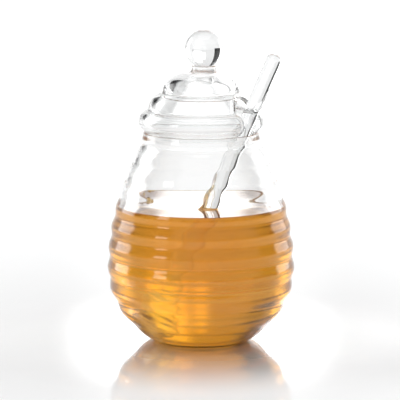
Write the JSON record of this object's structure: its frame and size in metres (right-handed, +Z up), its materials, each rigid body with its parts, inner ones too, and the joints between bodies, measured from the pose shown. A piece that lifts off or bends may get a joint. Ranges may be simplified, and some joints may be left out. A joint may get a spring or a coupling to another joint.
{
  "type": "honey jar",
  "caption": "Clear blown-glass beehive jar of honey with a stepped, knobbed lid and a glass dipper leaning out through the lid's notch.",
  "frame": {"origin": "centre of the jar's flat base, on the surface it stands on", "axes": "+Z up along the jar's axis; -Y is the front that the picture shows; the dipper leans out toward +X"},
  "size_m": [0.0964, 0.0964, 0.1603],
  "materials": {
    "jar_glass": "clear polished blown glass",
    "lid_glass": "clear polished blown glass",
    "dipper_glass": "clear polished solid glass rod",
    "honey": "clear amber honey with a level, glossy surface"
  },
  "bodies": {
    "root": {"jar": "jar_glass", "honey": "honey", "dipper": "dipper_glass", "lid": "lid_glass"}
  },
  "joints": []
}
